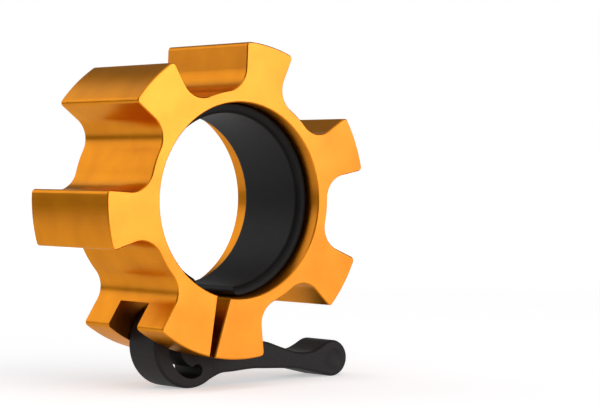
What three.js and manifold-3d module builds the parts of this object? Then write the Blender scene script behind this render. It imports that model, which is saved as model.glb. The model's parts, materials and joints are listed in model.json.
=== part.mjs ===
import * as THREE from "three";
import { mergeVertices } from "three/addons/utils/BufferGeometryUtils.js";
import Module from "manifold-3d";

// Barbell collar: a split aluminium clamp ring with grip lobes, a rubber liner in its bore, and a cam
// lever that hangs on a pivot pin in one jaw and draws the other jaw in by a follower pin.
//
// Lengths are in millimetres, and angles in degrees until radians() turns them. Pieces are drawn in the
// ring's own frame: X right and Y up in the front face, Z along the bore towards the viewer, the front
// face at Z = 0 and the back face at Z = -bodyDepth. The split between the jaws points down, along -Y.
// The last section stands the collar on its lever and puts the part's origin under its middle.

// Ring
const boreRadius = 28;
const jawDepth = 17.4;
const ringWall = 3.5;
const bodyDepth = 40;
const bodyChamfer = 0.3;
const lobeCentres = [-20, 35, 90, 145, 200];
const lobeHalfAngle = 10.7;
const jawHalfAngle = 24;
const jawFlankTurn = 4.8;
const rootFillet = 7;
const tipRounding = 1.2;

// Split between the jaws
const jawDirection = 270;
const splitAtBore = 4.3;
const splitAtRim = 1.6;
const splitOffset = 0.45;

// Liner
const linerThickness = 2.7;
const linerBondGap = 0.3;
const linerFrontRecess = 5.5;
const linerBackRecess = 7;
const linerEndAngles = [-16.5, 19.5];
const linerInnerRounding = 2.2;

// Lever
const leverWidth = 14;
const leverSideGap = 0.3;
const leverEdgeRounding = 1;
const headShare = 0.714;
const headTopGap = 2.2;
const leverReach = 52.9;
const handleAngle = 6.5;
const bulbRadius = 5.45;
const dishRadius = 3.2;
const dishDepth = 0.6;

// Pins
const pinRadius = 1.6;
const pinGap = 0.3;
const pinChamfer = 0.3;
const pinFrontCover = 3.5;
const pinBackRecess = 0.4;

// Cam
const closedFollowerAngle = 170;
const followerReachShare = 0.723;
const camSlotRunAngle = -112;

// Facets and cuts
const facetSag = 0.03;
const weldShare = 0.1;
const handleSteps = 30;
const pocketSteps = 6;
const edgeSteps = 2;
const turnedSides = 24;
const cutOverrun = 2;

// Sizes that follow from those above
const outerRadius = boreRadius + jawDepth;
const valleyRadius = boreRadius + ringWall;
const headRadius = jawDepth * headShare;
const slotWidth = leverWidth + 2 * leverSideGap;
const middle = -bodyDepth / 2;
const pinBoreRadius = pinRadius + pinGap;
const followerReach = headRadius * followerReachShare;

const radians = THREE.MathUtils.degToRad;

// The point at a distance and an angle from a centre.
function polar(centre, distance, degrees) {
  return new THREE.Vector2(distance, 0).rotateAround(new THREE.Vector2(), radians(degrees)).add(centre);
}

// The point whose offsets from a centre are shares of a size.
function offsetBy(centre, size, shares) {
  return new THREE.Vector2(...shares).multiplyScalar(size).add(centre);
}

const boreCentre = new THREE.Vector2(0, 0);
const headAcrossShare = 0.125;
const headDepth = boreRadius + headTopGap + headRadius;
const headCentre = new THREE.Vector2(headRadius * headAcrossShare, -headDepth);
const pivotShares = [0.219, 0.094];
const pivot = offsetBy(headCentre, headRadius, pivotShares);
const follower = polar(pivot, followerReach, closedFollowerAngle);
const bulbCentre = polar(headCentre, leverReach, handleAngle);

// Points along an arc, from one angle to another, close enough that the chords stay within facetSag.
function arc(centre, radius, from, to) {
  const widestStep = THREE.MathUtils.radToDeg(2 * Math.acos(1 - facetSag / radius));
  const steps = Math.max(2, Math.ceil(Math.abs(to - from) / widestStep));
  const points = [];
  for (let i = 0; i <= steps; i += 1) {
    points.push(polar(centre, radius, THREE.MathUtils.lerp(from, to, i / steps)));
  }
  return points;
}

// The angle of a vector in degrees, brought within half a turn of a given angle.
function angleNear(vector, degrees) {
  const angle = THREE.MathUtils.radToDeg(Math.atan2(vector.y, vector.x));
  return angle + 360 * Math.round((degrees - angle) / 360);
}

// Where two lines meet, each given by a point and its direction in degrees.
function meeting(pointA, degreesA, pointB, degreesB) {
  const alongA = polar(boreCentre, 1, degreesA);
  const alongB = polar(boreCentre, 1, degreesB);
  const between = pointB.clone().sub(pointA);
  const run = between.cross(alongB) / alongA.cross(alongB);
  return alongA.multiplyScalar(run).add(pointA);
}

// One flank of a lobe or jaw, on the side where angles grow (side 1) or shrink (side -1): the rounding
// at its tip and the fillet at its root, as points that run from the rim to the valley.
function flank(centreAngle, halfAngle, turn, side) {
  const tip = polar(boreCentre, outerRadius, centreAngle + side * halfAngle);
  const outward = centreAngle + side * (halfAngle - turn);
  const normalAngle = outward + side * 90;
  const normal = polar(boreCentre, 1, normalAngle);
  const along = polar(boreCentre, 1, outward);
  const offset = normal.dot(tip);
  const place = (shift, distance) => {
    const across = offset + shift;
    const out = Math.sqrt(distance ** 2 - across ** 2);
    return normal.clone().multiplyScalar(across).addScaledVector(along, out);
  };
  const roundingCentre = place(-tipRounding, outerRadius - tipRounding);
  const filletCentre = place(rootFillet, valleyRadius + rootFillet);
  const rimAngle = angleNear(roundingCentre, centreAngle);
  const valleyAngle = angleNear(filletCentre, centreAngle);
  const filletStart = normalAngle - side * 180;
  const filletEnd = angleNear(filletCentre.clone().negate(), filletStart);
  return {
    rimAngle,
    valleyAngle,
    points: [
      ...arc(roundingCentre, tipRounding, rimAngle, normalAngle),
      ...arc(filletCentre, rootFillet, filletStart, filletEnd),
    ],
  };
}

// The ring's face outline, once round against the clock from the split's right wall to its left wall,
// and back along the bore.
function ringOutline() {
  const jawStart = flank(jawDirection, jawHalfAngle, jawFlankTurn, 1);
  const jawEnd = flank(jawDirection, jawHalfAngle, jawFlankTurn, -1);
  const wallAngle = (radius, halfWidth, side) =>
    jawDirection + THREE.MathUtils.radToDeg(Math.asin((splitOffset + side * halfWidth) / radius));
  const rimWall = (side) => wallAngle(outerRadius, splitAtRim / 2, side);
  const boreWall = (side) => wallAngle(boreRadius, splitAtBore / 2, side);
  const outline = arc(boreCentre, outerRadius, rimWall(1), jawStart.rimAngle);
  outline.push(...jawStart.points);
  let valleyFrom = jawStart.valleyAngle - 360;
  for (const centreAngle of lobeCentres) {
    const near = flank(centreAngle, lobeHalfAngle, 0, -1);
    const far = flank(centreAngle, lobeHalfAngle, 0, 1);
    outline.push(...arc(boreCentre, valleyRadius, valleyFrom, near.valleyAngle));
    outline.push(...near.points.reverse());
    outline.push(...arc(boreCentre, outerRadius, near.rimAngle, far.rimAngle));
    outline.push(...far.points);
    valleyFrom = far.valleyAngle;
  }
  outline.push(...arc(boreCentre, valleyRadius, valleyFrom, jawEnd.valleyAngle));
  outline.push(...jawEnd.points.reverse());
  outline.push(...arc(boreCentre, outerRadius, jawEnd.rimAngle, rimWall(-1)));
  outline.push(...arc(boreCentre, boreRadius, boreWall(-1), boreWall(1) - 360));
  return outline;
}

// The liner's face outline: a strip round the bore with half-round ends on both sides of the split.
function linerOutline() {
  const outer = boreRadius - linerBondGap;
  const inner = outer - linerThickness;
  const endRadius = linerThickness / 2;
  const midRadius = inner + endRadius;
  const from = jawDirection + linerEndAngles[1] - 360;
  const to = jawDirection + linerEndAngles[0];
  return [
    ...arc(boreCentre, outer, from, to),
    ...arc(polar(boreCentre, midRadius, to), endRadius, to, to + 180),
    ...arc(boreCentre, inner, to, from),
    ...arc(polar(boreCentre, midRadius, from), endRadius, from + 180, from + 360),
  ];
}

// Points of the handle's edges, each as a share of the way from the head's middle to the bulb's, and a
// height off that line as a share of the head's radius (next to the head) or the bulb's (next to it).
const underHeadShares = [[0.227, -0.59]];
const underHandleShares = [
  [0.312, -1.19], [0.44, -0.96], [0.54, -0.88], [0.655, -0.8], [0.745, -0.77], [0.83, -0.83],
];
const overHandleShares = [[0.853, 0.31], [0.745, 0.18], [0.63, 0.35], [0.517, 0.57], [0.401, 0.55]];
const overHeadShares = [[0.305, 0.16], [0.257, 0.228]];
const headJoinAngles = [23, 311];
const bulbArcAngles = [-97, 118];

// The lever's side outline: round head, waved handle and round bulb.
function leverOutline() {
  const station = ([alongShare, heightShare], size) =>
    polar(headCentre, leverReach * alongShare, handleAngle)
      .add(polar(boreCentre, size * heightShare, handleAngle + 90));
  const under = [
    polar(headCentre, headRadius, handleAngle + headJoinAngles[1] - 360),
    ...underHeadShares.map((shares) => station(shares, headRadius)),
    ...underHandleShares.map((shares) => station(shares, bulbRadius)),
    polar(bulbCentre, bulbRadius, handleAngle + bulbArcAngles[0]),
  ];
  const over = [
    polar(bulbCentre, bulbRadius, handleAngle + bulbArcAngles[1]),
    ...overHandleShares.map((shares) => station(shares, bulbRadius)),
    ...overHeadShares.map((shares) => station(shares, headRadius)),
    polar(headCentre, headRadius, handleAngle + headJoinAngles[0]),
  ];
  return [
    ...arc(headCentre, headRadius, handleAngle + headJoinAngles[0], handleAngle + headJoinAngles[1]),
    ...new THREE.SplineCurve(under).getPoints(handleSteps).slice(1, -1),
    ...arc(bulbCentre, bulbRadius, handleAngle + bulbArcAngles[0], handleAngle + bulbArcAngles[1]),
    ...new THREE.SplineCurve(over).getPoints(handleSteps).slice(1, -1),
  ];
}

// The cam slot's outline: a band about the pivot that the follower pin runs in, from its seat when the
// lever is shut to a pocket past a cusp, where it rests when the lever is open.
const pocketReachShare = 0.883;
const pocketAngle = -82.3;
const pocketJoinAngle = -55;

function camSlotOutline() {
  const halfWidth = pinBoreRadius;
  const outer = followerReach + halfWidth;
  const inner = followerReach - halfWidth;
  const pocketReach = followerReach * pocketReachShare;
  const pocket = polar(pivot, pocketReach, pocketAngle);
  const seatAngle = closedFollowerAngle - 360;
  const runEnd = polar(pivot, outer, camSlotRunAngle);
  const pocketStart = polar(pocket, halfWidth, pocketJoinAngle);
  const bend = meeting(runEnd, camSlotRunAngle + 90, pocketStart, pocketJoinAngle + 90);
  // The cusp stands where the pocket's circle crosses the band's inner edge.
  const cuspTurn = THREE.MathUtils.radToDeg(
    Math.acos((pocketReach ** 2 + inner ** 2 - halfWidth ** 2) / (2 * pocketReach * inner)),
  );
  const cusp = polar(pivot, inner, pocketAngle - cuspTurn);
  const cuspAngle = angleNear(cusp.clone().sub(pocket), 180);
  return [
    ...arc(pivot, outer, seatAngle, camSlotRunAngle),
    ...new THREE.QuadraticBezierCurve(runEnd, bend, pocketStart).getPoints(pocketSteps).slice(1, -1),
    ...arc(pocket, halfWidth, pocketJoinAngle, cuspAngle),
    ...arc(pivot, inner, pocketAngle - cuspTurn, seatAngle).slice(1),
    ...arc(follower, halfWidth, seatAngle + 180, seatAngle + 360).slice(1, -1),
  ];
}

// The relief window in the head, above the hub: two round ends and straight sides.
const windowEndShares = [[-0.234, 0.594], [-0.055, 0.453]];
const windowRadiusShare = 0.164;

function windowOutline() {
  const [leftEnd, rightEnd] = windowEndShares.map((shares) => offsetBy(headCentre, headRadius, shares));
  const lean = angleNear(rightEnd.clone().sub(leftEnd), 0);
  const radius = headRadius * windowRadiusShare;
  return [
    ...arc(leftEnd, radius, lean + 90, lean + 270),
    ...arc(rightEnd, radius, lean - 90, lean + 90),
  ];
}

// The lever slot across both jaws, as a round side cutter leaves it. It breaks into the bore between
// the liner's ends, so the head can swing through.
const slotCutterShare = 1.875;
const slotCutterAcrossShare = 0.117;
const slotBreak = 2;

function slotCutterOutline() {
  const radius = headRadius * slotCutterShare;
  const depth = boreRadius - slotBreak + radius;
  const centre = new THREE.Vector2(headRadius * slotCutterAcrossShare, -depth);
  return arc(centre, radius, 0, 360).slice(1);
}

// An outline pushed along Z between two depths, with its edges rounded or chamfered by a size.
function extruded(outline, back, front, edge = 0, steps = 1) {
  const geometry = new THREE.ExtrudeGeometry(new THREE.Shape(outline), {
    depth: front - back - 2 * edge,
    bevelEnabled: edge > 0,
    bevelThickness: edge,
    bevelSize: edge,
    bevelOffset: -edge,
    bevelSegments: steps,
  });
  geometry.translate(0, 0, back + edge);
  return geometry;
}

// A round pin along Z at a place in the face, with chamfered ends.
function pinAt(place) {
  const front = -pinFrontCover - pinGap;
  const back = -bodyDepth + pinBackRecess;
  const profile = [
    new THREE.Vector2(0, back),
    new THREE.Vector2(pinRadius - pinChamfer, back),
    new THREE.Vector2(pinRadius, back + pinChamfer),
    new THREE.Vector2(pinRadius, front - pinChamfer),
    new THREE.Vector2(pinRadius - pinChamfer, front),
    new THREE.Vector2(0, front),
  ];
  const geometry = new THREE.LatheGeometry(profile, turnedSides);
  geometry.rotateX(Math.PI / 2);
  geometry.translate(place.x, place.y, 0);
  return geometry;
}

// A bore along Z at a place in the face.
function boreAt(place, back, front) {
  return extruded(arc(place, pinBoreRadius, 0, 360).slice(1), back, front);
}

// The cutter that rounds the liner's inner edge at one end, in front (side 1) or behind (side -1).
function linerEdgeAt(side, endDepth) {
  const inner = boreRadius - linerBondGap - linerThickness;
  const outer = inner + linerInnerRounding;
  const sides = Math.ceil(Math.PI / Math.acos(1 - facetSag / outer));
  const profile = [
    new THREE.Vector2(0, -linerInnerRounding),
    ...arc(new THREE.Vector2(outer, -linerInnerRounding), linerInnerRounding, 180, 90),
    new THREE.Vector2(outer, cutOverrun),
    new THREE.Vector2(0, cutOverrun),
  ];
  const geometry = new THREE.LatheGeometry(profile, sides);
  geometry.rotateX((side * Math.PI) / 2);
  geometry.translate(boreCentre.x, boreCentre.y, endDepth);
  return geometry;
}

// The shallow thumb dish in the bulb's two sides: a round cap that stands a little proud of the side.
function dishAt(side, faceDepth) {
  const sphereRadius = (dishRadius ** 2 + dishDepth ** 2) / (2 * dishDepth);
  const halfAngle = THREE.MathUtils.radToDeg(Math.asin(dishRadius / sphereRadius));
  const cap = arc(new THREE.Vector2(0, sphereRadius - dishDepth), sphereRadius, -90, -90 + halfAngle);
  const profile = [...cap, new THREE.Vector2(dishRadius, cutOverrun), new THREE.Vector2(0, cutOverrun)];
  const geometry = new THREE.LatheGeometry(profile, turnedSides);
  geometry.rotateX((side * Math.PI) / 2);
  geometry.translate(bulbCentre.x, bulbCentre.y, faceDepth);
  return geometry;
}

const wasm = await Module();
wasm.setup();

// A closed geometry as a solid that can be joined and cut, and back.
function solid(geometry) {
  const bare = geometry.clone();
  bare.deleteAttribute("normal");
  bare.deleteAttribute("uv");
  const merged = mergeVertices(bare, facetSag * weldShare);
  return new wasm.Manifold(
    new wasm.Mesh({
      numProp: 3,
      vertProperties: merged.attributes.position.array,
      triVerts: new Uint32Array(merged.index.array),
    }),
  );
}

function geometryOf(manifold) {
  const mesh = manifold.getMesh();
  const geometry = new THREE.BufferGeometry();
  geometry.setAttribute("position", new THREE.BufferAttribute(mesh.vertProperties, 3));
  geometry.setIndex(new THREE.BufferAttribute(mesh.triVerts, 1));
  geometry.computeVertexNormals();
  return geometry;
}

// A geometry with others cut out of it.
function cut(geometry, ...tools) {
  return geometryOf(tools.reduce((body, tool) => body.subtract(solid(tool)), solid(geometry)));
}

function ringGeometry() {
  const pinBottom = -pinFrontCover;
  const behind = -bodyDepth - cutOverrun;
  return cut(
    extruded(ringOutline(), -bodyDepth, 0, bodyChamfer),
    extruded(slotCutterOutline(), middle - slotWidth / 2, middle + slotWidth / 2),
    boreAt(pivot, behind, pinBottom),
    boreAt(follower, behind, pinBottom),
  );
}

function linerGeometry() {
  const back = -bodyDepth + linerBackRecess;
  const front = -linerFrontRecess;
  return cut(extruded(linerOutline(), back, front), linerEdgeAt(1, front), linerEdgeAt(-1, back));
}

function leverGeometry() {
  const back = middle - leverWidth / 2;
  const front = middle + leverWidth / 2;
  const through = [back - cutOverrun, front + cutOverrun];
  return cut(
    extruded(leverOutline(), back, front, leverEdgeRounding, edgeSteps),
    extruded(camSlotOutline(), ...through),
    extruded(windowOutline(), ...through),
    boreAt(pivot, ...through),
    dishAt(1, front),
    dishAt(-1, back),
  );
}

// Materials
const goldAnodised = new THREE.MeshStandardMaterial({ color: 0xf5a21c, roughness: 0.35, metalness: 1 });
const blackRubber = new THREE.MeshStandardMaterial({ color: 0x1d1a1a, roughness: 0.85, metalness: 0 });
const blackNylon = new THREE.MeshStandardMaterial({ color: 0x38353a, roughness: 0.6, metalness: 0 });
const steel = new THREE.MeshStandardMaterial({ color: 0xb9bcc0, roughness: 0.3, metalness: 1 });

function piece(name, geometry, material) {
  const mesh = new THREE.Mesh(geometry, material);
  mesh.name = name;
  return mesh;
}

// The collar stands on the head's and the bulb's round undersides, so it is turned until the line that
// touches both lies level.
const restTilt = handleAngle + THREE.MathUtils.radToDeg(Math.asin((headRadius - bulbRadius) / leverReach));

const turned = new THREE.Group();
turned.rotation.z = -radians(restTilt);
turned.add(
  piece("clamp_ring", ringGeometry(), goldAnodised),
  piece("bore_liner", linerGeometry(), blackRubber),
  piece("cam_lever", leverGeometry(), blackNylon),
  piece("lever_pivot_pin", pinAt(pivot), steel),
  piece("cam_follower_pin", pinAt(follower), steel),
);

const standing = new THREE.Group();
standing.rotation.x = Math.PI / 2;
standing.add(turned);

const collar = new THREE.Group();
collar.add(standing);
collar.updateMatrixWorld(true);
const box = new THREE.Box3().setFromObject(collar, true);
const boxMiddle = box.getCenter(new THREE.Vector3());
standing.position.set(-boxMiddle.x, -boxMiddle.y, -box.min.z);

export default collar;
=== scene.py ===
"""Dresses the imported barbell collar: a gold anodised clamp ring with grip lobes, a black rubber liner in
its bore, a black cam lever between its jaws, and the two steel pins that the lever works on.

Outlines are drawn in the ring's own frame, as in the part's source: X right and Y up in the front face,
Z along the bore towards the viewer, the front face at Z = 0. Points in the face are complex numbers.
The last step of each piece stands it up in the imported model's frame, in metres.
"""

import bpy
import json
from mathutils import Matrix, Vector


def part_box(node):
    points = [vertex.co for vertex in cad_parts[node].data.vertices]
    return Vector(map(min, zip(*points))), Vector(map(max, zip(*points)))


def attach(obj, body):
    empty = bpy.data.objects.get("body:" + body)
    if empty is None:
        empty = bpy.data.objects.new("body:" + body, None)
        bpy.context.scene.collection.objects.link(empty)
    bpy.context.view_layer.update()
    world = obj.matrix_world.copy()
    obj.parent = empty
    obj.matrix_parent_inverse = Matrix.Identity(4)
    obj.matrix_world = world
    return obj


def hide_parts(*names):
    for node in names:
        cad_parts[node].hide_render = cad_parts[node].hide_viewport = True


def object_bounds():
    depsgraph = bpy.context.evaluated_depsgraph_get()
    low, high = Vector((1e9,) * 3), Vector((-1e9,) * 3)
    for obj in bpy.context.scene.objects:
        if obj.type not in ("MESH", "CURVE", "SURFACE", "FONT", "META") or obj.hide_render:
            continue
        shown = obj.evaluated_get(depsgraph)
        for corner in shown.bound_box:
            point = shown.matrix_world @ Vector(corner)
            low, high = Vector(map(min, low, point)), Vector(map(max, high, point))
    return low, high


bl_info = {
    "name": "Barbell Collar",
    "version": (1, 0, 0),
    "blender": (4, 5, 0),
    "location": "View3D > Sidebar > Collar",
    "description": "Makes the visible pieces, finishes and studio stage of a barbell collar",
    "category": "Object",
}

import cmath
import json
import math
from types import SimpleNamespace

import bmesh
import bpy
from bpy.props import FloatProperty, FloatVectorProperty, PointerProperty
from mathutils import Matrix, Vector

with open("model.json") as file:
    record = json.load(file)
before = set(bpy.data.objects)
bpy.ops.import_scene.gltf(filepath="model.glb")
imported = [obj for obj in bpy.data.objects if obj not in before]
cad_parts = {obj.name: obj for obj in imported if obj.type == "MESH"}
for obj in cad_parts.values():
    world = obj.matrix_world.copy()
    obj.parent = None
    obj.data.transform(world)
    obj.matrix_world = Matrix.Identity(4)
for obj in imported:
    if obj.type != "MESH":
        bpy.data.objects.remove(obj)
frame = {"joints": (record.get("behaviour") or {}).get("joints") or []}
cad_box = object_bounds()

MM = 0.001
# Blender's bevel is coarse at the size of a micrometre, so meshes are cut and bevelled in millimetres.
WORK_SCALE = 1 / MM


def linear(hex_colour):
    """Turns an sRGB hex colour to linear red, green and blue."""
    channels = [int(hex_colour[start:start + 2], 16) / 255 for start in (1, 3, 5)]
    return [value / 12.92 if value <= 0.04045 else ((value + 0.055) / 1.055) ** 2.4 for value in channels]


def length(name, description, millimetres):
    return FloatProperty(
        name=name, description=description, default=millimetres * MM, min=0.0, precision=5,
        subtype="DISTANCE", unit="LENGTH",
    )


def angle(name, description, degrees):
    return FloatProperty(
        name=name, description=description, default=math.radians(degrees), subtype="ANGLE", unit="ROTATION",
    )


def share(name, description, value):
    return FloatProperty(name=name, description=description, default=value, subtype="FACTOR", unit="NONE")


def colour(name, description, hex_colour):
    return FloatVectorProperty(
        name=name, description=description, default=linear(hex_colour), size=3, min=0.0, max=1.0,
        subtype="COLOR",
    )


class RingSizes(bpy.types.PropertyGroup):
    """Sizes of the split ring, its grip lobes and its two jaws"""

    bore_radius: length("Bore radius", "Radius of the bore that holds the liner", 28)
    jaw_depth: length("Jaw depth", "From the bore to the tips of the lobes and jaws", 17.4)
    wall: length("Wall", "From the bore to the valleys between the lobes", 3.5)
    depth: length("Depth", "From the front face to the back face", 40)
    chamfer: length("Chamfer", "Chamfer along the edges of both faces", 0.3)
    lobe_half_angle: angle("Lobe half angle", "Half of the angle that a lobe spans at its tip", 10.7)
    jaw_half_angle: angle("Jaw half angle", "Half of the angle that both jaws span at their tips", 24)
    jaw_flank_turn: angle("Jaw flank turn", "How far a jaw's flank turns in from the line to the bore", 4.8)
    root_fillet: length("Root fillet", "Fillet between a flank and the valley beside it", 7)
    tip_rounding: length("Tip rounding", "Rounding between a flank and the tip's outer face", 1.2)
    split_at_bore: length("Split at bore", "Width of the split where it meets the bore", 4.3)
    split_at_rim: length("Split at rim", "Width of the split at the jaws' outer face", 1.6)
    split_offset: length("Split offset", "How far the split stands off the middle between the jaws", 0.45)
    broken_edge: length("Broken edge", "Rounding along the slot, the split and the pin bores", 0.3)


class LinerSizes(bpy.types.PropertyGroup):
    """Sizes of the rubber strip round the bore"""

    thickness: length("Thickness", "Thickness of the rubber", 2.7)
    bond_gap: length("Bond gap", "Gap to the bore that the bond fills", 0.3)
    front_recess: length("Front recess", "How far it stands in from the front face", 5.5)
    back_recess: length("Back recess", "How far it stands in from the back face", 7)
    left_end: angle("Left end", "Angle from the split to its end on the left", 16.5)
    right_end: angle("Right end", "Angle from the split to its end on the right", 19.5)
    edge_rounding: length("Edge rounding", "Rounding of the edges beside the bore", 0.3)
    inner_rounding: length("Inner rounding", "Rounding of the edges that the bar's sleeve slides over", 2.2)


class LeverSizes(bpy.types.PropertyGroup):
    """Sizes of the cam lever and of the slot that it swings in"""

    width: length("Width", "Width of the lever along the bore", 14)
    side_gap: length("Side gap", "Gap to the slot's wall on each side", 0.3)
    edge_rounding: length("Edge rounding", "Rounding of its outer edges", 1)
    mouth_rounding: length("Mouth rounding", "Rounding round its holes and its cam slot", 0.35)
    head_share: share("Head share", "Head radius as a share of the jaws' depth", 0.714)
    head_top_gap: length("Head top gap", "From the bore down to the top of the head", 2.2)
    reach: length("Reach", "From the head's middle to the bulb's", 52.9)
    handle_angle: angle("Handle angle", "Rise of the handle when the lever is shut", 6.5)
    bulb_radius: length("Bulb radius", "Radius of the bulb at the handle's end", 5.45)
    dish_radius: length("Dish radius", "Radius of the thumb dish in the bulb's sides", 3.2)
    dish_depth: length("Dish depth", "Depth of the thumb dish", 0.6)
    follower_share: share("Follower share", "Pivot to follower, as a share of the head radius", 0.723)
    follower_angle: angle("Follower angle", "Direction from the pivot to the follower pin", 170)
    slot_run_angle: angle("Slot run angle", "Where the cam slot's round band ends", -112)


class PinSizes(bpy.types.PropertyGroup):
    """Sizes of the two pins that the lever works on"""

    radius: length("Radius", "Radius of a pin", 1.6)
    gap: length("Gap", "Gap round a pin in its bore", 0.3)
    chamfer: length("Chamfer", "Chamfer at a pin's ends", 0.3)
    front_cover: length("Front cover", "Metal left between a pin's bore and the front face", 3.5)
    back_recess: length("Back recess", "How far a pin stands in from the back face", 0.4)


class Finishes(bpy.types.PropertyGroup):
    """Colours of the finishes and of the stage"""

    gold: colour("Gold", "Dyed anodic film where the dye lies thinner", "#D98513")
    deep_gold: colour("Deep gold", "Dyed anodic film where the dye lies thicker", "#CA780E")
    # The next two golds are painted sheen: paler and bluer, they go on the faces along the bore in place of
    # the key lamp's highlight there.
    sheen_painted_gold: colour("Gold with painted sheen", "Paler film on the milled faces, a painted sheen, where the dye lies thinner", "#D98427")
    sheen_painted_deep_gold: colour("Deep gold with painted sheen", "Paler film on the milled faces, a painted sheen, thicker dye", "#CA7821")
    rubber: colour("Rubber", "Moulded rubber", "#0A0909")
    rubber_bloom: colour("Rubber bloom", "Rubber where wax has bloomed to its surface", "#100E0D")
    nylon: colour("Nylon", "Glass filled nylon", "#1B1819")
    nylon_glass: colour("Nylon glass", "Nylon where glass lies close under its skin", "#221F20")
    steel: colour("Steel", "Ground steel", "#B9BCC0")
    floor: colour("Floor", "Pale floor", "#F2F2F2")
    backdrop: colour("Backdrop", "White backdrop behind the collar", "#FFFFFF")
    studio: colour("Studio", "Grey of the studio round the stage", "#88888A")


class StageSettings(bpy.types.PropertyGroup):
    """The camera and the lamps"""

    camera_place: FloatVectorProperty(
        name="Camera place", description="Where the camera stands", default=(-0.37994, -0.53149, 0.06866),
        size=3, subtype="TRANSLATION", unit="LENGTH",
    )
    camera_turn: FloatVectorProperty(
        name="Camera turn", description="How the camera is turned",
        default=[math.radians(degrees) for degrees in (88.435, 0.427, -37.985)],
        size=3, subtype="EULER", unit="ROTATION",
    )
    camera_lens: FloatProperty(
        name="Camera lens", description="Focal length in millimetres on a sensor 36 mm wide", default=133.9,
        min=1.0, unit="CAMERA",
    )
    overhead: FloatProperty(
        name="Overhead light", description="Strength of the broad light from above", default=0.65, min=0.0,
    )
    key: FloatProperty(
        name="Key light", description="Power of the soft light in front", default=17.5, min=0.0,
        unit="POWER",
    )
    rim: FloatProperty(
        name="Rim light", description="Power of the soft light behind on the left", default=2.6, min=0.0,
        unit="POWER",
    )


class CollarSettings(bpy.types.PropertyGroup):
    """All of the collar's sizes, colours and stage settings"""

    ring: PointerProperty(type=RingSizes)
    liner: PointerProperty(type=LinerSizes)
    lever: PointerProperty(type=LeverSizes)
    pins: PointerProperty(type=PinSizes)
    finishes: PointerProperty(type=Finishes)
    stage: PointerProperty(type=StageSettings)


# Directions from the middle of the bore
LOBE_DIRECTIONS = [math.radians(degrees) for degrees in (-20, 35, 90, 145, 200)]
JAW_DIRECTION = math.radians(270)

# Places and radii in and round the lever's head, as shares of its radius
HEAD_ACROSS_SHARE = 0.125
PIVOT_SHARES = (0.219, 0.094)
SLOT_CUTTER_SHARE = 1.875
SLOT_CUTTER_ACROSS_SHARE = 0.117
WINDOW_END_SHARES = ((-0.234, 0.594), (-0.055, 0.453))
WINDOW_RADIUS_SHARE = 0.164
# How far the slot's cutter breaks through into the bore
SLOT_BREAK = 2 * MM

# The pocket at the end of the cam slot: how far from the pivot it lies, as a share of the follower's
# reach, in which direction, and in which direction from its own middle its edge joins the band's
POCKET_REACH_SHARE = 0.883
POCKET_ANGLE = math.radians(-82.3)
POCKET_JOIN_ANGLE = math.radians(-55)

# Points of the handle's edges, each as a share of the way from the head's middle to the bulb's, and a
# height off that line as a share of the head's radius (next to the head) or the bulb's (next to it)
UNDER_HEAD_SHARES = ((0.227, -0.59),)
UNDER_HANDLE_SHARES = (
    (0.312, -1.19), (0.44, -0.96), (0.54, -0.88), (0.655, -0.8), (0.745, -0.77), (0.83, -0.83),
)
OVER_HANDLE_SHARES = ((0.853, 0.31), (0.745, 0.18), (0.63, 0.35), (0.517, 0.57), (0.401, 0.55))
OVER_HEAD_SHARES = ((0.305, 0.16), (0.257, 0.228))
HEAD_JOIN_ANGLES = (math.radians(23), math.radians(311))
BULB_ARC_ANGLES = (math.radians(-97), math.radians(118))

# How finely curves are drawn
ARC_SAG = 0.003 * MM
SPLINE_STEPS = 90
POCKET_STEPS = 12
ROUNDING_STEPS = 8
MOUTH_STEPS = 3
BROKEN_EDGE_STEPS = 2
CUT_OVERRUN = 2 * MM
QUARTER = math.pi / 2
TURN = 2 * math.pi

# Edges sharper than this are rounded, and shading breaks at edges sharper than the other two.
ROUNDED_ABOVE = math.radians(50)
SHADING_BREAK = math.radians(30)
LEVER_SHADING_BREAK = math.radians(13)

# Where the lamps stand from the collar's middle, and how wide and high they are, in metres
OVERHEAD_FROM = Vector((-0.25, -0.35, 1.0))
OVERHEAD_SPREAD = math.radians(60)
KEY_FROM = Vector((0.32, -1.15, 0.0))
KEY_SIZE = (1.1, 1.0)
RIM_FROM = Vector((-0.396, 0.972, 0.444))
RIM_SIZE = (0.95, 0.7)
# How far the floor reaches to each side, and how near the camera sees, in metres
FLOOR_HALF_SIDE = 15.0
CAMERA_NEAREST = 0.01
# Blender gives a camera's lens and sensor in millimetres.
SENSOR_WIDTH = 36


def polar(centre, distance, direction):
    return centre + cmath.rect(distance, direction)


def arc(centre, radius, start, end):
    """Points along an arc whose chords stay within the sag."""
    widest_step = 2 * math.acos(1 - ARC_SAG / radius)
    steps = max(2, math.ceil(abs(end - start) / widest_step))
    return [polar(centre, radius, start + (end - start) * step / steps) for step in range(steps + 1)]


def angle_near(vector, direction):
    """The angle of a vector, brought within half a turn of a direction."""
    own = cmath.phase(vector)
    return own + TURN * round((direction - own) / TURN)


def dot(first, second):
    return (first * second.conjugate()).real


def cross(first, second):
    return (first.conjugate() * second).imag


def meeting(point_a, direction_a, point_b, direction_b):
    """Where two lines meet, each given by a point and its direction."""
    along_a = cmath.rect(1, direction_a)
    along_b = cmath.rect(1, direction_b)
    run = cross(point_b - point_a, along_b) / cross(along_a, along_b)
    return point_a + along_a * run


def spline(points, steps):
    """Points along a Catmull-Rom curve through the given points, without its two ends."""
    last = len(points) - 1
    made = []
    for step in range(1, steps):
        place = last * step / steps
        index = min(int(place), last - 1)
        t = place - index
        before = points[max(index - 1, 0)]
        start = points[index]
        end = points[index + 1]
        after = points[min(index + 2, last)]
        leave = (end - before) / 2
        arrive = (after - start) / 2
        cubic = 2 * start - 2 * end + leave + arrive
        square = -3 * start + 3 * end - 2 * leave - arrive
        made.append(((cubic * t + square) * t + leave) * t + start)
    return made


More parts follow.
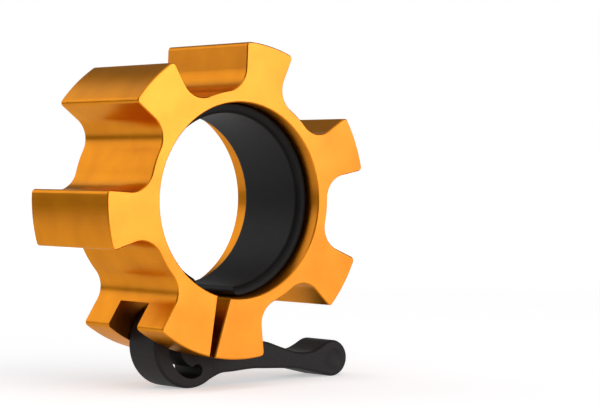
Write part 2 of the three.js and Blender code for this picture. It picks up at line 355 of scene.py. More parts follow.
def centres_of(settings):
    """The radii and centres that follow from the sizes, in the ring's own frame."""
    ring = settings.ring
    lever = settings.lever
    head_radius = ring.jaw_depth * lever.head_share
    head_depth = ring.bore_radius + lever.head_top_gap + head_radius
    head = complex(head_radius * HEAD_ACROSS_SHARE, -head_depth)
    pivot = head + complex(*PIVOT_SHARES) * head_radius
    follower_reach = head_radius * lever.follower_share
    slope = math.asin((head_radius - lever.bulb_radius) / lever.reach)
    return SimpleNamespace(
        outer_radius=ring.bore_radius + ring.jaw_depth,
        valley_radius=ring.bore_radius + ring.wall,
        head_radius=head_radius,
        head=head,
        pivot=pivot,
        follower_reach=follower_reach,
        follower=polar(pivot, follower_reach, lever.follower_angle),
        bulb=polar(head, lever.reach, lever.handle_angle),
        bore_radius_of_pin=settings.pins.radius + settings.pins.gap,
        slot_width=lever.width + 2 * lever.side_gap,
        middle=-ring.depth / 2,
        rest_tilt=lever.handle_angle + slope,
    )


def flank(ring, centres, centre_angle, half_angle, turn, side):
    """One flank of a lobe or jaw: the rounding at its tip and the fillet at its root, rim first."""
    tip = polar(0, centres.outer_radius, centre_angle + side * half_angle)
    outward = centre_angle + side * (half_angle - turn)
    normal_angle = outward + side * QUARTER
    normal = cmath.rect(1, normal_angle)
    along = cmath.rect(1, outward)
    offset = dot(normal, tip)

    def place(shift, distance):
        across = offset + shift
        return normal * across + along * math.sqrt(distance ** 2 - across ** 2)

    rounding = place(-ring.tip_rounding, centres.outer_radius - ring.tip_rounding)
    fillet = place(ring.root_fillet, centres.valley_radius + ring.root_fillet)
    rim_angle = angle_near(rounding, centre_angle)
    fillet_start = normal_angle - side * math.pi
    fillet_end = angle_near(-fillet, fillet_start)
    points = arc(rounding, ring.tip_rounding, rim_angle, normal_angle)
    points += arc(fillet, ring.root_fillet, fillet_start, fillet_end)
    return rim_angle, angle_near(fillet, centre_angle), points


def ring_outline(ring, centres):
    """The ring's face outline, once round against the clock from the split and back along the bore."""
    outer = centres.outer_radius
    valley = centres.valley_radius
    jaw = (JAW_DIRECTION, ring.jaw_half_angle, ring.jaw_flank_turn)
    first_rim, first_valley, first_points = flank(ring, centres, *jaw, 1)
    last_rim, last_valley, last_points = flank(ring, centres, *jaw, -1)

    def wall_angle(radius, half_width, side):
        return JAW_DIRECTION + math.asin((ring.split_offset + side * half_width) / radius)

    outline = arc(0, outer, wall_angle(outer, ring.split_at_rim / 2, 1), first_rim)
    outline += first_points
    valley_from = first_valley - TURN
    for direction in LOBE_DIRECTIONS:
        near_rim, near_valley, near_points = flank(ring, centres, direction, ring.lobe_half_angle, 0, -1)
        far_rim, far_valley, far_points = flank(ring, centres, direction, ring.lobe_half_angle, 0, 1)
        outline += arc(0, valley, valley_from, near_valley)
        outline += reversed(near_points)
        outline += arc(0, outer, near_rim, far_rim)
        outline += far_points
        valley_from = far_valley
    outline += arc(0, valley, valley_from, last_valley)
    outline += reversed(last_points)
    outline += arc(0, outer, last_rim, wall_angle(outer, ring.split_at_rim / 2, -1))
    bore = ring.bore_radius
    half_split = ring.split_at_bore / 2
    outline += arc(0, bore, wall_angle(bore, half_split, -1), wall_angle(bore, half_split, 1) - TURN)
    return outline


def liner_outline(ring, liner):
    """The liner's face outline: a strip round the bore with half-round ends beside the split."""
    outer = ring.bore_radius - liner.bond_gap
    inner = outer - liner.thickness
    end_radius = liner.thickness / 2
    mid_radius = inner + end_radius
    start = JAW_DIRECTION + liner.right_end - TURN
    end = JAW_DIRECTION - liner.left_end
    return [
        *arc(0, outer, start, end),
        *arc(polar(0, mid_radius, end), end_radius, end, end + math.pi),
        *arc(0, inner, end, start),
        *arc(polar(0, mid_radius, start), end_radius, start + math.pi, start + TURN),
    ]


def lever_outline(lever, centres):
    """The lever's side outline: round head, waved handle and round bulb."""
    rise = lever.handle_angle
    head_radius = centres.head_radius
    bulb_radius = lever.bulb_radius

    def stations(shares, size):
        return [
            polar(centres.head, lever.reach * along, rise) + cmath.rect(size * height, rise + QUARTER)
            for along, height in shares
        ]

    head_from, head_to = (rise + join for join in HEAD_JOIN_ANGLES)
    bulb_from, bulb_to = (rise + join for join in BULB_ARC_ANGLES)
    under = [polar(centres.head, head_radius, head_to)]
    under += stations(UNDER_HEAD_SHARES, head_radius)
    under += stations(UNDER_HANDLE_SHARES, bulb_radius)
    under += [polar(centres.bulb, bulb_radius, bulb_from)]
    over = [polar(centres.bulb, bulb_radius, bulb_to)]
    over += stations(OVER_HANDLE_SHARES, bulb_radius)
    over += stations(OVER_HEAD_SHARES, head_radius)
    over += [polar(centres.head, head_radius, head_from)]
    return [
        *arc(centres.head, head_radius, head_from, head_to),
        *spline(under, SPLINE_STEPS),
        *arc(centres.bulb, bulb_radius, bulb_from, bulb_to),
        *spline(over, SPLINE_STEPS),
    ]


def cam_slot_outline(lever, centres):
    """The cam slot: a band about the pivot, from the follower's seat to a pocket past a cusp."""
    pivot = centres.pivot
    half_width = centres.bore_radius_of_pin
    outer = centres.follower_reach + half_width
    inner = centres.follower_reach - half_width
    pocket_reach = centres.follower_reach * POCKET_REACH_SHARE
    pocket = polar(pivot, pocket_reach, POCKET_ANGLE)
    seat = lever.follower_angle - TURN
    run_end = polar(pivot, outer, lever.slot_run_angle)
    pocket_start = polar(pocket, half_width, POCKET_JOIN_ANGLE)
    bend = meeting(run_end, lever.slot_run_angle + QUARTER, pocket_start, POCKET_JOIN_ANGLE + QUARTER)
    steps = [step / POCKET_STEPS for step in range(1, POCKET_STEPS)]
    joining = [run_end * (1 - t) ** 2 + bend * 2 * t * (1 - t) + pocket_start * t ** 2 for t in steps]
    cusp_cosine = (pocket_reach ** 2 + inner ** 2 - half_width ** 2) / (2 * pocket_reach * inner)
    cusp_direction = POCKET_ANGLE - math.acos(cusp_cosine)
    cusp_angle = angle_near(polar(pivot, inner, cusp_direction) - pocket, math.pi)
    return [
        *arc(pivot, outer, seat, lever.slot_run_angle),
        *joining,
        *arc(pocket, half_width, POCKET_JOIN_ANGLE, cusp_angle),
        *arc(pivot, inner, cusp_direction, seat)[1:],
        *arc(centres.follower, half_width, seat + math.pi, seat + TURN)[1:-1],
    ]


def window_outline(centres):
    """The small relief window in the head, above the cam slot."""
    size = centres.head_radius
    left_end, right_end = (centres.head + complex(*shares) * size for shares in WINDOW_END_SHARES)
    lean = cmath.phase(right_end - left_end)
    radius = size * WINDOW_RADIUS_SHARE
    return [
        *arc(left_end, radius, lean + QUARTER, lean + 3 * QUARTER),
        *arc(right_end, radius, lean - QUARTER, lean + QUARTER),
    ]


def slot_cutter_outline(ring, centres):
    """The round side cutter that leaves the lever slot across both jaws."""
    radius = centres.head_radius * SLOT_CUTTER_SHARE
    depth = ring.bore_radius - SLOT_BREAK + radius
    centre = complex(centres.head_radius * SLOT_CUTTER_ACROSS_SHARE, -depth)
    return arc(centre, radius, 0, TURN)[1:]


def without_repeats(outline):
    """An outline without the points that repeat the one before."""
    least = ARC_SAG / 10
    return [point for index, point in enumerate(outline) if abs(point - outline[index - 1]) > least]


def inset(outline, size):
    """An outline moved inwards, each corner along its own mitre."""
    moved = []
    for index, corner in enumerate(outline):
        arriving = corner - outline[index - 1]
        leaving = outline[(index + 1) % len(outline)] - corner
        arriving /= abs(arriving)
        leaving /= abs(leaving)
        mitre = (arriving + leaving) * 1j
        moved.append(corner + mitre * (2 * size / abs(mitre) ** 2))
    return moved


def prism(outline, back, front, edge=0.0, steps=1):
    """A mesh of an outline pushed along Z between two depths, its edges rounded or chamfered."""
    outline = without_repeats(outline)
    turns = [QUARTER * step / steps for step in range(steps + 1)] if edge else [QUARTER]
    levels = [(edge * (1 - math.sin(turn)), edge * (1 - math.cos(turn))) for turn in turns]
    loops = [(inward, back + rise) for inward, rise in levels]
    loops += [(inward, front - rise) for inward, rise in reversed(levels)]
    work = bmesh.new()
    rows = []
    for inward, depth in loops:
        points = inset(outline, inward) if inward else outline
        rows.append([work.verts.new(Vector((p.real, p.imag, depth)) * WORK_SCALE) for p in points])
    for low, high in zip(rows, rows[1:]):
        for index in range(len(outline)):
            work.faces.new((low[index - 1], low[index], high[index], high[index - 1]))
    work.faces.new(reversed(rows[0]))
    work.faces.new(rows[-1])
    return mesh_of(work)


def turned(profile, place, side=1):
    """A mesh turned about Z at a place in the face, from a profile of radius and depth pairs."""
    widest = max(radius for radius, _ in profile)
    sides = math.ceil(math.pi / math.acos(1 - ARC_SAG / widest))
    work = bmesh.new()
    rows = []
    for radius, depth in profile:
        count = sides if radius else 1
        rows.append([
            work.verts.new(Vector((point.real, point.imag, side * depth)) * WORK_SCALE)
            for point in (polar(place, radius, TURN * step / count) for step in range(count))
        ])
    for low, high in zip(rows, rows[1:]):
        for index in range(sides):
            if len(low) == 1:
                corners = (low[0], high[index], high[index - 1])
            elif len(high) == 1:
                corners = (low[index - 1], low[index], high[0])
            else:
                corners = (low[index - 1], low[index], high[index], high[index - 1])
            work.faces.new(corners)
    bmesh.ops.recalc_face_normals(work, faces=work.faces)
    return mesh_of(work)


def mesh_of(work):
    mesh = bpy.data.meshes.new("work")
    work.to_mesh(mesh)
    work.free()
    return mesh


def cut(body, *tools):
    """The body mesh with the tool meshes cut out of it."""
    target = bpy.data.objects.new("body", body)
    bpy.context.scene.collection.objects.link(target)
    cutters = [bpy.data.objects.new("tool", tool) for tool in tools]
    for cutter in cutters:
        bpy.context.scene.collection.objects.link(cutter)
        modifier = target.modifiers.new("cut", "BOOLEAN")
        modifier.operation = "DIFFERENCE"
        modifier.solver = "EXACT"
        modifier.object = cutter
    made = bpy.data.meshes.new_from_object(target.evaluated_get(bpy.context.evaluated_depsgraph_get()))
    if not made.polygons:
        raise RuntimeError("nothing was left after a cut")
    for spare in [target, *cutters]:
        bpy.data.objects.remove(spare)
    return made


def break_edges(mesh, size, steps):
    """Rounds the sharp outward edges of a mesh."""
    work = bmesh.new()
    work.from_mesh(mesh)
    bmesh.ops.remove_doubles(work, verts=work.verts, dist=ARC_SAG * WORK_SCALE / 10)
    edges = [
        edge for edge in work.edges
        if edge.is_manifold and edge.is_convex and edge.calc_face_angle() > ROUNDED_ABOVE
    ]
    bmesh.ops.bevel(
        work, geom=edges, offset=size * WORK_SCALE, offset_type="OFFSET", segments=steps, profile=0.5,
        affect="EDGES", clamp_overlap=True, miter_outer="SHARP",
    )
    return mesh_of(work)


def stand_up(centres):
    """The matrix from the ring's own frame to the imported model's, by the joint and the ring's box."""
    hinge = Vector(frame["joints"][0]["pos_m"])
    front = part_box("clamp_ring")[0].y
    turn = Matrix.Rotation(QUARTER, 4, "X") @ Matrix.Rotation(-centres.rest_tilt, 4, "Z")
    pivot = turn @ Vector((centres.pivot.real, centres.pivot.imag, 0))
    return Matrix.Translation(Vector((hinge.x - pivot.x, front, hinge.z - pivot.z))) @ turn


def piece(context, name, mesh, material, shading_break, body, node):
    """Makes a finished piece of a mesh: stood up, smooth between sharp edges, riding its body."""
    standing = stand_up(centres_of(context.scene.collar))
    mesh.transform(standing @ Matrix.Scale(1 / WORK_SCALE, 4))
    mesh.name = name
    mesh.polygons.foreach_set("use_smooth", [True] * len(mesh.polygons))
    mesh.set_sharp_from_angle(angle=shading_break)
    mesh.materials.clear()
    mesh.materials.append(material)
    made = bpy.data.objects.new(name, mesh)
    context.scene.collection.objects.link(made)
    even_shading = made.modifiers.new("Even shading", "WEIGHTED_NORMAL")
    even_shading.keep_sharp = True
    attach(made, body)
    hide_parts(node)


def add_node(tree, kind, settings=None, inputs=None):
    """Adds a node, sets its settings, and sets or links its inputs."""
    node = tree.nodes.new(kind)
    for name, value in (settings or {}).items():
        setattr(node, name, value)
    for socket, value in (inputs or {}).items():
        if isinstance(value, bpy.types.NodeSocket):
            tree.links.new(value, node.inputs[socket])
        else:
            node.inputs[socket].default_value = value
    return node


def new_material(name):
    material = bpy.data.materials.new(name)
    material.use_nodes = True
    material.node_tree.nodes.clear()
    return material, material.node_tree


def opaque(rgb):
    return (*rgb, 1.0)


def extruded_anodised_aluminium(finishes):
    """Extruded aluminium, milled on both faces, blasted with fine beads, anodised, dyed gold and sealed.

    The die leaves faint lines along the bore. The beads leave an even satin that softens reflections.
    The milled faces are drawn a little paler and bluer, a painted sheen that stands in for the key
    lamp's pale highlight on them. The clear film adds a thin pale sheen, and at low angles the dye under
    it keeps the metal's reflections orange.
    """
    material, tree = new_material("Extruded aluminium, gold anodised")
    place = add_node(tree, "ShaderNodeTexCoord")
    # Die lines are 0.05 mm apart on the real part. They are drawn 0.35 mm apart, so that they show.
    line_spacing = 0.35 * MM
    line_length = 60 * MM
    along_bore = add_node(tree, "ShaderNodeMapping", {"vector_type": "POINT"}, {
        "Vector": place.outputs["Object"],
        "Scale": (1 / line_spacing, 1 / line_length, 1 / line_spacing),
    })
    lines = add_node(tree, "ShaderNodeTexNoise", None, {
        "Vector": along_bore.outputs["Vector"], "Scale": 1.0, "Detail": 2.0, "Roughness": 0.6,
    })
    # Dye takes a little unevenly over a few millimetres.
    dye_patch = 9 * MM
    dye = add_node(tree, "ShaderNodeTexNoise", None, {
        "Vector": place.outputs["Object"], "Scale": 1 / dye_patch, "Detail": 2.0,
    })
    line_share = 0.45
    tone = add_node(tree, "ShaderNodeMath", {"operation": "MULTIPLY_ADD"}, {
        0: lines.outputs["Fac"], 1: line_share, 2: dye.outputs["Fac"],
    })
    spread = add_node(tree, "ShaderNodeMapRange", None, {
        "Value": tone.outputs[0], "From Min": 0.5, "From Max": 0.95,
    })
    extruded_film = add_node(tree, "ShaderNodeMix", {"data_type": "RGBA"}, {
        0: spread.outputs["Result"], 6: opaque(finishes.deep_gold), 7: opaque(finishes.gold),
    })
    # Painted sheen: the paler, bluer gold that the faces along the bore get in place of the key lamp's
    # highlight.
    painted_sheen_film = add_node(tree, "ShaderNodeMix", {"data_type": "RGBA"}, {
        0: spread.outputs["Result"], 6: opaque(finishes.sheen_painted_deep_gold), 7: opaque(finishes.sheen_painted_gold),
    })
    # The bore runs along Y, so both milled faces point along it, and every extruded side points away. The
    # faces along it get the paler, bluer gold of a painted sheen, which stands in for the key lamp's
    # highlight.
    facing = add_node(tree, "ShaderNodeSeparateXYZ", None, {"Vector": place.outputs["Normal"]})
    along_axis = add_node(tree, "ShaderNodeMath", {"operation": "ABSOLUTE"}, {0: facing.outputs["Y"]})
    milled = add_node(tree, "ShaderNodeMapRange", None, {
        "Value": along_axis.outputs[0], "From Min": 0.9, "From Max": 0.99,
    })
    film = add_node(tree, "ShaderNodeMix", {"data_type": "RGBA"}, {
        0: milled.outputs["Result"], 6: extruded_film.outputs[2], 7: painted_sheen_film.outputs[2],
    })
    satin = add_node(tree, "ShaderNodeMapRange", None, {
        "Value": lines.outputs["Fac"], "To Min": 0.27, "To Max": 0.39,
    })
    # Bead marks are 0.1 mm across. They are drawn at 0.25 mm.
    bead_mark = 0.25 * MM
    beads = add_node(tree, "ShaderNodeTexNoise", None, {
        "Vector": place.outputs["Object"], "Scale": 1 / bead_mark, "Detail": 1.0,
    })
    bead_bump = add_node(tree, "ShaderNodeBump", None, {
        "Strength": 0.35, "Distance": 0.006 * MM, "Height": beads.outputs["Fac"],
    })
    line_bump = add_node(tree, "ShaderNodeBump", None, {
        "Strength": 0.4, "Distance": 0.012 * MM, "Height": lines.outputs["Fac"],
        "Normal": bead_bump.outputs["Normal"],
    })
    shader = add_node(tree, "ShaderNodeBsdfPrincipled", None, {
        "Base Color": film.outputs[2],
        "Metallic": 1.0,
        "Roughness": satin.outputs["Result"],
        "Specular Tint": (1.0, 0.78, 0.45, 1.0),
        "Coat Weight": 0.14,
        "Coat Roughness": 0.2,
        "Coat IOR": 1.5,
        "Normal": line_bump.outputs["Normal"],
    })
    add_node(tree, "ShaderNodeOutputMaterial", None, {"Surface": shader.outputs["BSDF"]})
    return material


def moulded_rubber(finishes):
    """Compression moulded nitrile rubber.

    It is near black and dull, with a soft broad gleam, a fine grain from the mould, and slightly paler
    patches where wax has bloomed to the surface.
    """
    material, tree = new_material("Nitrile rubber, moulded")
    place = add_node(tree, "ShaderNodeTexCoord")
    # Bloom gathers in patches several millimetres across.
    bloom_patch = 7 * MM
    bloom = add_node(tree, "ShaderNodeTexNoise", None, {
        "Vector": place.outputs["Object"], "Scale": 1 / bloom_patch, "Detail": 3.0, "Roughness": 0.6,
    })
    patches = add_node(tree, "ShaderNodeMapRange", None, {
        "Value": bloom.outputs["Fac"], "From Min": 0.4, "From Max": 0.7,
    })
    tint = add_node(tree, "ShaderNodeMix", {"data_type": "RGBA"}, {
        0: patches.outputs["Result"], 6: opaque(finishes.rubber), 7: opaque(finishes.rubber_bloom),
    })
    # The mould's grain is 0.2 mm. It is drawn at 0.4 mm.
    grain_size = 0.4 * MM
    grain = add_node(tree, "ShaderNodeTexNoise", None, {
        "Vector": place.outputs["Object"], "Scale": 1 / grain_size, "Detail": 2.0,
    })
    dullness = add_node(tree, "ShaderNodeMapRange", None, {
        "Value": grain.outputs["Fac"], "To Min": 0.5, "To Max": 0.66,
    })
    bump = add_node(tree, "ShaderNodeBump", None, {
        "Strength": 0.4, "Distance": 0.02 * MM, "Height": grain.outputs["Fac"],
    })
    shader = add_node(tree, "ShaderNodeBsdfPrincipled", None, {
        "Base Color": tint.outputs[2],
        "Roughness": dullness.outputs["Result"],
        "IOR": 1.52,
        "Specular IOR Level": 0.2,
        "Normal": bump.outputs["Normal"],
    })
    add_node(tree, "ShaderNodeOutputMaterial", None, {"Surface": shader.outputs["BSDF"]})
    return material


def moulded_nylon(finishes):
    """Glass filled nylon, injection moulded in a spark eroded mould.

    It is a warm dark grey with an even matt grain of fine pits, and faint paler flecks where glass
    fibres lie close under the skin.
    """
    material, tree = new_material("Glass filled nylon, moulded")
    place = add_node(tree, "ShaderNodeTexCoord")
    # Glass fibres are about 0.3 mm long. Their flecks are drawn 0.9 mm across.
    fleck_size = 0.9 * MM
    flecks = add_node(tree, "ShaderNodeTexNoise", None, {
        "Vector": place.outputs["Object"], "Scale": 1 / fleck_size, "Detail": 4.0, "Roughness": 0.7,
    })
    fleck_share = add_node(tree, "ShaderNodeMapRange", None, {
        "Value": flecks.outputs["Fac"], "From Min": 0.42, "From Max": 0.68,
    })
    tint = add_node(tree, "ShaderNodeMix", {"data_type": "RGBA"}, {
        0: fleck_share.outputs["Result"], 6: opaque(finishes.nylon), 7: opaque(finishes.nylon_glass),
    })
    # The spark pits are 0.05 mm across. They are drawn at 0.3 mm.
    pit_size = 0.3 * MM
    pits = add_node(tree, "ShaderNodeTexVoronoi", {"feature": "SMOOTH_F1"}, {
        "Vector": place.outputs["Object"], "Scale": 1 / pit_size, "Smoothness": 0.6,
    })
    matt = add_node(tree, "ShaderNodeMapRange", None, {
        "Value": pits.outputs["Distance"], "To Min": 0.5, "To Max": 0.64,
    })
    bump = add_node(tree, "ShaderNodeBump", None, {
        "Strength": 0.5, "Distance": 0.02 * MM, "Height": pits.outputs["Distance"],
    })
    shader = add_node(tree, "ShaderNodeBsdfPrincipled", None, {
        "Base Color": tint.outputs[2],
        "Roughness": matt.outputs["Result"],
        "IOR": 1.53,
        "Specular IOR Level": 0.18,
        "Normal": bump.outputs["Normal"],
    })
    add_node(tree, "ShaderNodeOutputMaterial", None, {"Surface": shader.outputs["BSDF"]})
    return material


def ground_steel(finishes):
    """Hardened steel, centreless ground.

    It is a bright neutral grey with fine marks round the pin.
    """
    material, tree = new_material("Hardened steel, ground")
    place = add_node(tree, "ShaderNodeTexCoord")
    # Grinding marks are a few micrometres apart. They are drawn 0.2 mm apart.
    mark_spacing = 0.2 * MM
    mark_length = 8 * MM
    round_pin = add_node(tree, "ShaderNodeMapping", {"vector_type": "POINT"}, {
        "Vector": place.outputs["Object"],
        "Scale": (1 / mark_length, 1 / mark_spacing, 1 / mark_length),
    })
    marks = add_node(tree, "ShaderNodeTexNoise", None, {
        "Vector": round_pin.outputs["Vector"], "Scale": 1.0, "Detail": 2.0,
    })
    polish = add_node(tree, "ShaderNodeMapRange", None, {
        "Value": marks.outputs["Fac"], "To Min": 0.2, "To Max": 0.36,
    })
    bump = add_node(tree, "ShaderNodeBump", None, {
        "Strength": 0.3, "Distance": 0.004 * MM, "Height": marks.outputs["Fac"],
    })
    shader = add_node(tree, "ShaderNodeBsdfPrincipled", None, {
        "Base Color": opaque(finishes.steel),
        "Metallic": 1.0,
        "Roughness": polish.outputs["Result"],
        "Normal": bump.outputs["Normal"],
    })
    add_node(tree, "ShaderNodeOutputMaterial", None, {"Surface": shader.outputs["BSDF"]})
    return material


def shown_share(tree):
    """1 for rays that show what they meet, straight or in metal or glass, and 0 for other rays."""
    path = add_node(tree, "ShaderNodeLightPath")
    seen = add_node(tree, "ShaderNodeMath", {"operation": "MAXIMUM"}, {
        0: path.outputs["Is Camera Ray"], 1: path.outputs["Is Glossy Ray"],
    })
    shown = add_node(tree, "ShaderNodeMath", {"operation": "MAXIMUM"}, {
        0: seen.outputs[0], 1: path.outputs["Is Transmission Ray"],
    })
    return shown.outputs[0]


def backdrop_share(tree, direction, towards):
    """1 in the directions that the white backdrop fills, and 0 where the grey studio shows."""
    # A direction's rise counts for more than its turn to the side, as the backdrop is wider than high.
    rise_weight = 1.2
    weighted = add_node(tree, "ShaderNodeVectorMath", {"operation": "MULTIPLY"}, {
        0: direction, 1: (1.0, 1.0, rise_weight),
    })
    along = add_node(tree, "ShaderNodeVectorMath", {"operation": "NORMALIZE"}, {
        0: weighted.outputs["Vector"],
    })
    facing = add_node(tree, "ShaderNodeVectorMath", {"operation": "DOT_PRODUCT"}, {
        0: along.outputs["Vector"], 1: towards,
    })
    backdrop_edge = math.radians(30)
    backdrop_full = math.radians(18)
    fade = add_node(tree, "ShaderNodeMapRange", {"interpolation_type": "SMOOTHSTEP"}, {
        "Value": facing.outputs["Value"],
        "From Min": math.cos(backdrop_edge),
        "From Max": math.cos(backdrop_full),
    })
    return fade.outputs["Result"]


def painted_floor(finishes, towards):
    """Pale matt paint on a studio floor. It keeps the collar's soft shadow and shows no gloss.

    It is white round the collar and on towards the backdrop, and falls off to the studio's grey beyond.
    """
    material, tree = new_material("Floor paint, matt")
    place = add_node(tree, "ShaderNodeTexCoord")
    # A paint roller leaves faint marks a few centimetres apart.
    roller_mark = 40 * MM
    roller = add_node(tree, "ShaderNodeTexNoise", None, {
        "Vector": place.outputs["Object"], "Scale": 1 / roller_mark, "Detail": 1.0,
    })
    matt = add_node(tree, "ShaderNodeMapRange", None, {
        "Value": roller.outputs["Fac"], "To Min": 0.9, "To Max": 1.0,
    })
    # The white lies round a spot behind the collar, so that the collar's near side mirrors less of it.
    white_middle = 200 * MM
    white_reach = 340 * MM
    grey_reach = 700 * MM
    distance = add_node(tree, "ShaderNodeVectorMath", {"operation": "DISTANCE"}, {
        0: place.outputs["Object"], 1: towards * white_middle,
    })
    near = add_node(tree, "ShaderNodeMapRange", {"interpolation_type": "SMOOTHSTEP"}, {
        "Value": distance.outputs["Value"], "From Min": white_reach, "From Max": grey_reach,
        "To Min": 1.0, "To Max": 0.0,
    })
    white = add_node(tree, "ShaderNodeMath", {"operation": "MAXIMUM"}, {
        0: near.outputs["Result"], 1: backdrop_share(tree, place.outputs["Object"], towards),
    })
    tint = add_node(tree, "ShaderNodeMix", {"data_type": "RGBA"}, {
        0: white.outputs[0], 6: opaque(finishes.studio), 7: opaque(finishes.floor),
    })
    paint = add_node(tree, "ShaderNodeBsdfPrincipled", None, {
        "Base Color": tint.outputs[2],
        "Roughness": matt.outputs["Result"],
        "Specular IOR Level": 0.0,
    })
    # The lamps reach less far than the white does, so it is lifted more where they fall off.
    near_lift_share = 0.46
    far_lift_share = 0.66
    even_reach = white_reach / 2
    lift_share = add_node(tree, "ShaderNodeMapRange", {"interpolation_type": "SMOOTHSTEP"}, {
        "Value": distance.outputs["Value"], "From Min": even_reach, "From Max": grey_reach,
        "To Min": near_lift_share, "To Max": far_lift_share,
    })
    lift = add_node(tree, "ShaderNodeMath", {"operation": "MULTIPLY"}, {
        0: white.outputs[0], 1: lift_share.outputs["Result"],
    })
    shown_lift = add_node(tree, "ShaderNodeMath", {"operation": "MULTIPLY"}, {
        0: lift.outputs[0], 1: shown_share(tree),
    })
    glow = add_node(tree, "ShaderNodeEmission", None, {
        "Color": opaque(finishes.backdrop), "Strength": shown_lift.outputs[0],
    })
    lifted = add_node(tree, "ShaderNodeAddShader", None, {
        0: paint.outputs["BSDF"], 1: glow.outputs["Emission"],
    })
    add_node(tree, "ShaderNodeOutputMaterial", None, {"Surface": lifted.outputs["Shader"]})
    return material


def studio_world(scene, finishes, towards):
    """A white backdrop behind the collar that fades to the grey of the studio at its sides."""
    world = bpy.data.worlds.new("Studio")
    world.use_nodes = True
    tree = world.node_tree
    tree.nodes.clear()
    place = add_node(tree, "ShaderNodeTexCoord")
    shown = add_node(tree, "ShaderNodeMath", {"operation": "MULTIPLY"}, {
        0: backdrop_share(tree, place.outputs["Generated"], towards), 1: shown_share(tree),
    })
    tint = add_node(tree, "ShaderNodeMix", {"data_type": "RGBA"}, {
        0: shown.outputs[0], 6: opaque(finishes.studio), 7: opaque(finishes.backdrop),
    })
    background = add_node(tree, "ShaderNodeBackground", None, {"Color": tint.outputs[2], "Strength": 1.0})
    add_node(tree, "ShaderNodeOutputWorld", None, {"Surface": background.outputs["Background"]})
    scene.world = world


def lamp(scene, name, kind, energy, place, target, **settings):
    """A lamp that points from a place to a target."""
    data = bpy.data.lights.new(name, kind)
    data.energy = energy
    for key, value in settings.items():
        setattr(data, key, value)
    made = bpy.data.objects.new(name, data)
    made.location = place
    made.rotation_euler = (Vector(target) - Vector(place)).to_track_quat("-Z", "Y").to_euler()
    scene.collection.objects.link(made)


class COLLAR_OT_make_ring(bpy.types.Operator):
    """Makes the split clamp ring with its lobes, jaws, lever slot and pin bores"""

    bl_idname = "collar.make_ring"
    bl_label = "Make the clamp ring"

    def execute(self, context):
        settings = context.scene.collar
        ring = settings.ring
        centres = centres_of(settings)
        half_slot = centres.slot_width / 2
        behind = -ring.depth - CUT_OVERRUN
        bottom = -settings.pins.front_cover
        bores = [
            prism(arc(place, centres.bore_radius_of_pin, 0, TURN)[1:], behind, bottom)
            for place in (centres.pivot, centres.follower)
        ]
        slot_sides = (centres.middle - half_slot, centres.middle + half_slot)
        mesh = cut(
            prism(ring_outline(ring, centres), -ring.depth, 0, ring.chamfer),
            prism(slot_cutter_outline(ring, centres), *slot_sides),
            *bores,
        )
        mesh = break_edges(mesh, ring.broken_edge, BROKEN_EDGE_STEPS)
        material = extruded_anodised_aluminium(settings.finishes)
        piece(
            context, "anodised_clamp_ring", mesh, material, SHADING_BREAK,
            "ring", "clamp_ring",
        )
        return {"FINISHED"}


class COLLAR_OT_make_liner(bpy.types.Operator):
    """Makes the rubber liner in the bore"""

    bl_idname = "collar.make_liner"
    bl_label = "Make the liner"

    def execute(self, context):
        settings = context.scene.collar
        ring = settings.ring
        liner = settings.liner
        back = -ring.depth + liner.back_recess
        front = -liner.front_recess
        inner = ring.bore_radius - liner.bond_gap - liner.thickness
        rounding = liner.inner_rounding
        curve = arc(complex(inner + rounding, -rounding), rounding, math.pi, QUARTER)
        profile = [(0, -rounding)]
        profile += [(point.real, point.imag) for point in curve]
        profile += [(inner + rounding, CUT_OVERRUN), (0, CUT_OVERRUN)]
        mesh = cut(
            prism(liner_outline(ring, liner), back, front, liner.edge_rounding, MOUTH_STEPS),
            turned([(radius, depth + front) for radius, depth in profile], 0),
            turned([(radius, depth - back) for radius, depth in profile], 0, -1),
        )
        piece(
            context, "rubber_bore_liner", mesh, moulded_rubber(settings.finishes), SHADING_BREAK,
            "ring", "bore_liner",
        )
        return {"FINISHED"}


class COLLAR_OT_make_lever(bpy.types.Operator):
    """Makes the cam lever with its cam slot, pivot bore, relief window and thumb dishes"""

    bl_idname = "collar.make_lever"
    bl_label = "Make the cam lever"

    def execute(self, context):
        settings = context.scene.collar
        lever = settings.lever
        centres = centres_of(settings)
        back = centres.middle - lever.width / 2
        front = centres.middle + lever.width / 2
        through = (back - CUT_OVERRUN, front + CUT_OVERRUN)
        mesh = cut(
            prism(lever_outline(lever, centres), back, front, lever.edge_rounding, ROUNDING_STEPS),
            prism(cam_slot_outline(lever, centres), *through),
            prism(window_outline(centres), *through),
            prism(arc(centres.pivot, centres.bore_radius_of_pin, 0, TURN)[1:], *through),
        )
        mesh = break_edges(mesh, lever.mouth_rounding, MOUTH_STEPS)
        sphere_radius = (lever.dish_radius ** 2 + lever.dish_depth ** 2) / (2 * lever.dish_depth)
        half_angle = math.asin(lever.dish_radius / sphere_radius)
        sphere_middle = complex(0, sphere_radius - lever.dish_depth)
        cap = arc(sphere_middle, sphere_radius, -QUARTER, half_angle - QUARTER)
        profile = [(max(point.real, 0.0), point.imag) for point in cap]
        profile[0] = (0, profile[0][1])
        profile += [(lever.dish_radius, CUT_OVERRUN), (0, CUT_OVERRUN)]
        front_dish = [(radius, depth + front) for radius, depth in profile]
        back_dish = [(radius, depth - back) for radius, depth in profile]
        mesh = cut(mesh, turned(front_dish, centres.bulb), turned(back_dish, centres.bulb, -1))
        piece(
            context, "nylon_cam_lever", mesh, moulded_nylon(settings.finishes), LEVER_SHADING_BREAK,
            "lever", "cam_lever",
        )
        return {"FINISHED"}


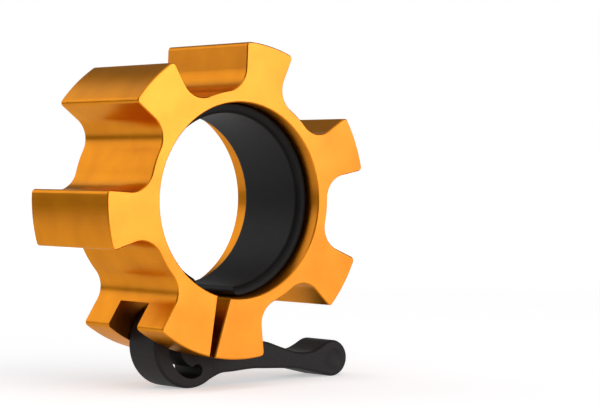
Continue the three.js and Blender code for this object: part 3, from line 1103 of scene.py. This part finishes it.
class COLLAR_OT_make_pins(bpy.types.Operator):
    """Makes the pivot pin and the follower pin"""

    bl_idname = "collar.make_pins"
    bl_label = "Make the pins"

    def execute(self, context):
        settings = context.scene.collar
        pins = settings.pins
        centres = centres_of(settings)
        front = -pins.front_cover - pins.gap
        back = -settings.ring.depth + pins.back_recess
        profile = [
            (0, back),
            (pins.radius - pins.chamfer, back),
            (pins.radius, back + pins.chamfer),
            (pins.radius, front - pins.chamfer),
            (pins.radius - pins.chamfer, front),
            (0, front),
        ]
        material = ground_steel(settings.finishes)
        for name, place, node in (
            ("steel_pivot_pin", centres.pivot, "lever_pivot_pin"),
            ("steel_follower_pin", centres.follower, "cam_follower_pin"),
        ):
            mesh = turned(profile, place)
            piece(context, name, mesh, material, SHADING_BREAK, "ring", node)
        return {"FINISHED"}


class COLLAR_OT_make_stage(bpy.types.Operator):
    """Makes the floor, the backdrop, the lamps and the camera"""

    bl_idname = "collar.make_stage"
    bl_label = "Make the stage"

    def execute(self, context):
        scene = context.scene
        settings = scene.collar
        stage = settings.stage
        camera_data = bpy.data.cameras.new("camera")
        camera_data.sensor_width = SENSOR_WIDTH
        camera_data.lens = stage.camera_lens
        camera_data.clip_start = CAMERA_NEAREST
        camera = bpy.data.objects.new("camera", camera_data)
        camera.location = stage.camera_place
        camera.rotation_euler = stage.camera_turn
        scene.collection.objects.link(camera)
        scene.camera = camera

        towards = camera.rotation_euler.to_matrix() @ Vector((0, 0, -1))
        towards.z = 0
        towards.normalize()
        studio_world(scene, settings.finishes, towards)
        half = FLOOR_HALF_SIDE
        work = bmesh.new()
        corners = [(-half, -half), (half, -half), (half, half), (-half, half)]
        work.faces.new([work.verts.new((x, y, 0.0)) for x, y in corners])
        floor = bpy.data.objects.new("studio_floor", mesh_of(work))
        floor.data.materials.append(painted_floor(settings.finishes, towards))
        scene.collection.objects.link(floor)

        middle = (cad_box[0] + cad_box[1]) / 2
        lamp(
            scene, "overhead", "SUN", stage.overhead, middle + OVERHEAD_FROM, middle,
            angle=OVERHEAD_SPREAD,
        )
        for name, power, offset, (wide, high) in (
            ("key", stage.key, KEY_FROM, KEY_SIZE),
            ("rim", stage.rim, RIM_FROM, RIM_SIZE),
        ):
            lamp(
                scene, name, "AREA", power, middle + offset, middle,
                shape="RECTANGLE", size=wide, size_y=high,
            )
        scene.view_settings.view_transform = "Standard"
        return {"FINISHED"}


OPERATORS = (
    COLLAR_OT_make_ring,
    COLLAR_OT_make_liner,
    COLLAR_OT_make_lever,
    COLLAR_OT_make_pins,
    COLLAR_OT_make_stage,
)


class COLLAR_PT_panel(bpy.types.Panel):
    """Sizes and colours of the collar, and the steps that make it"""

    bl_idname = "COLLAR_PT_panel"
    bl_label = "Barbell collar"
    bl_space_type = "VIEW_3D"
    bl_region_type = "UI"
    bl_category = "Collar"

    def draw(self, context):
        settings = context.scene.collar
        for title, group in (
            ("Clamp ring", settings.ring),
            ("Liner", settings.liner),
            ("Cam lever", settings.lever),
            ("Pins", settings.pins),
            ("Colours", settings.finishes),
            ("Stage", settings.stage),
        ):
            box = self.layout.box()
            box.label(text=title)
            for name in group.__annotations__:
                box.prop(group, name)
        for operator in OPERATORS:
            self.layout.operator(operator.bl_idname)


GROUPS = (RingSizes, LinerSizes, LeverSizes, PinSizes, Finishes, StageSettings, CollarSettings)
CLASSES = (*GROUPS, *OPERATORS, COLLAR_PT_panel)


def register():
    for item in CLASSES:
        bpy.utils.register_class(item)
    bpy.types.Scene.collar = PointerProperty(type=CollarSettings)


def unregister():
    del bpy.types.Scene.collar
    for item in reversed(CLASSES):
        bpy.utils.unregister_class(item)


def main():
    """Makes the whole scene."""
    register()
    bpy.ops.collar.make_ring()
    bpy.ops.collar.make_liner()
    bpy.ops.collar.make_lever()
    bpy.ops.collar.make_pins()
    bpy.ops.collar.make_stage()


if __name__ == "__main__":
    main()
